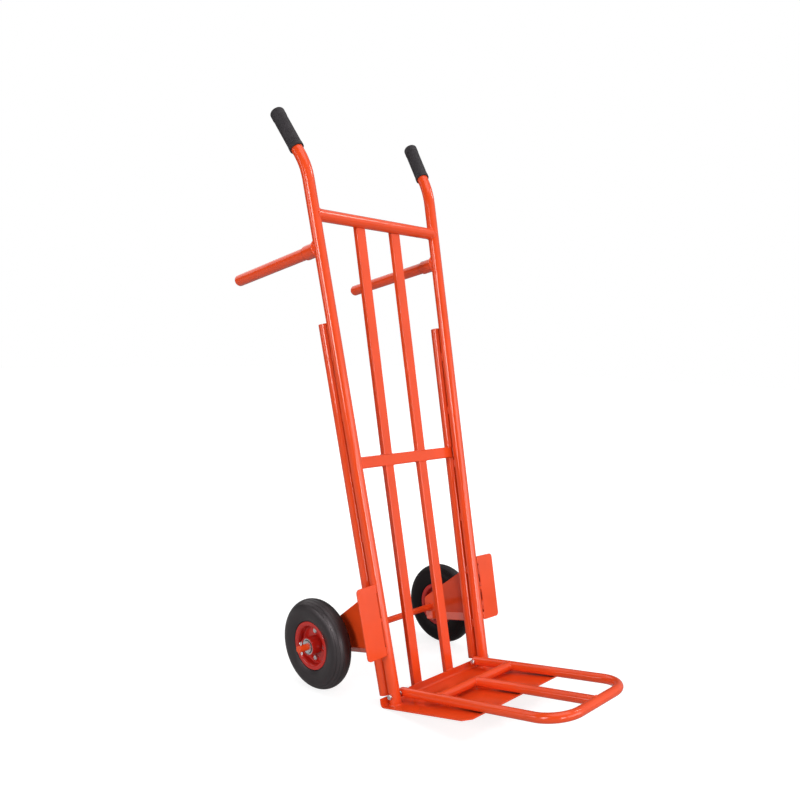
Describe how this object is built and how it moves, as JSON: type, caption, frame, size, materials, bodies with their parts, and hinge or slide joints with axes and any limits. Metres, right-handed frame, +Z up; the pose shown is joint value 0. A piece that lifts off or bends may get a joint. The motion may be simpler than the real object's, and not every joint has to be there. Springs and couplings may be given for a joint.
{
  "type": "hand cart",
  "caption": "Upright hand cart with a welded tube frame, rubber grips, rear carrying handles, air-tyre wheels, a flat toe plate and a tube toe extension that folds up.",
  "frame": {"origin": "on the floor, under the middle of the cart's overall box", "axes": "+X to the operator's left, +Y back towards the operator, +Z up; the toe points to -Y"},
  "size_m": [0.505, 0.9098, 1.2118],
  "materials": {
    "orange_paint": "gloss",
    "dark_red_paint": "gloss",
    "tyre_rubber": "satin",
    "grip_rubber": "satin",
    "zinc": "zinc plated",
    "bearing_steel": "ground",
    "seal_rubber": "matte"
  },
  "bodies": {
    "frame": {"left_bearing_inner_rings": "bearing_steel", "right_bearing_inner_rings": "bearing_steel", "left_rail": "orange_paint", "right_rail": "orange_paint", "left_grip": "grip_rubber", "right_grip": "grip_rubber", "left_upper_bar": "orange_paint", "right_upper_bar": "orange_paint", "left_lower_bar": "orange_paint", "right_lower_bar": "orange_paint", "left_rear_stay": "orange_paint", "right_rear_stay": "orange_paint", "left_rear_handle": "orange_paint", "right_rear_handle": "orange_paint", "left_handle_socket": "orange_paint", "right_handle_socket": "orange_paint", "left_guard_plate": "orange_paint", "right_guard_plate": "orange_paint", "left_wheel_bracket": "orange_paint", "right_wheel_bracket": "orange_paint", "top_cross_tube": "orange_paint", "mid_cross_bar": "orange_paint", "toe_plate": "orange_paint", "axle": "orange_paint", "hinge_bolts": "zinc", "hinge_washers": "zinc", "hinge_nuts": "zinc", "axle_spacers": "orange_paint", "axle_washers": "zinc", "split_pins": "zinc"},
    "left_wheel": {"left_tyre": "tyre_rubber", "left_rim_outer_half": "dark_red_paint", "left_rim_inner_half": "dark_red_paint", "left_hub": "dark_red_paint", "left_bearing_outer_rings": "bearing_steel", "left_bearing_seals": "seal_rubber", "left_rim_bolts": "zinc", "left_rim_nuts": "zinc"},
    "right_wheel": {"right_tyre": "tyre_rubber", "right_rim_outer_half": "dark_red_paint", "right_rim_inner_half": "dark_red_paint", "right_hub": "dark_red_paint", "right_bearing_outer_rings": "bearing_steel", "right_bearing_seals": "seal_rubber", "right_rim_bolts": "zinc", "right_rim_nuts": "zinc"},
    "toe_extension": {"extension_bow": "orange_paint", "extension_cross_tube": "orange_paint", "extension_middle_tube": "orange_paint"}
  },
  "joints": [
    {"name": "left_wheel_spin", "type": "hinge", "parent": "frame", "child": "left_wheel", "pos_m": [0.2017, 0.13308, 0.1], "axis": [1, 0, 0], "continuous": true},
    {"name": "right_wheel_spin", "type": "hinge", "parent": "frame", "child": "right_wheel", "pos_m": [-0.2017, 0.13308, 0.1], "axis": [1, 0, 0], "continuous": true},
    {"name": "extension_fold", "type": "hinge", "parent": "frame", "child": "toe_extension", "pos_m": [0, -0.05209, 0.02459], "axis": [-1, 0, 0], "range_deg": [0, 93]}
  ]
}
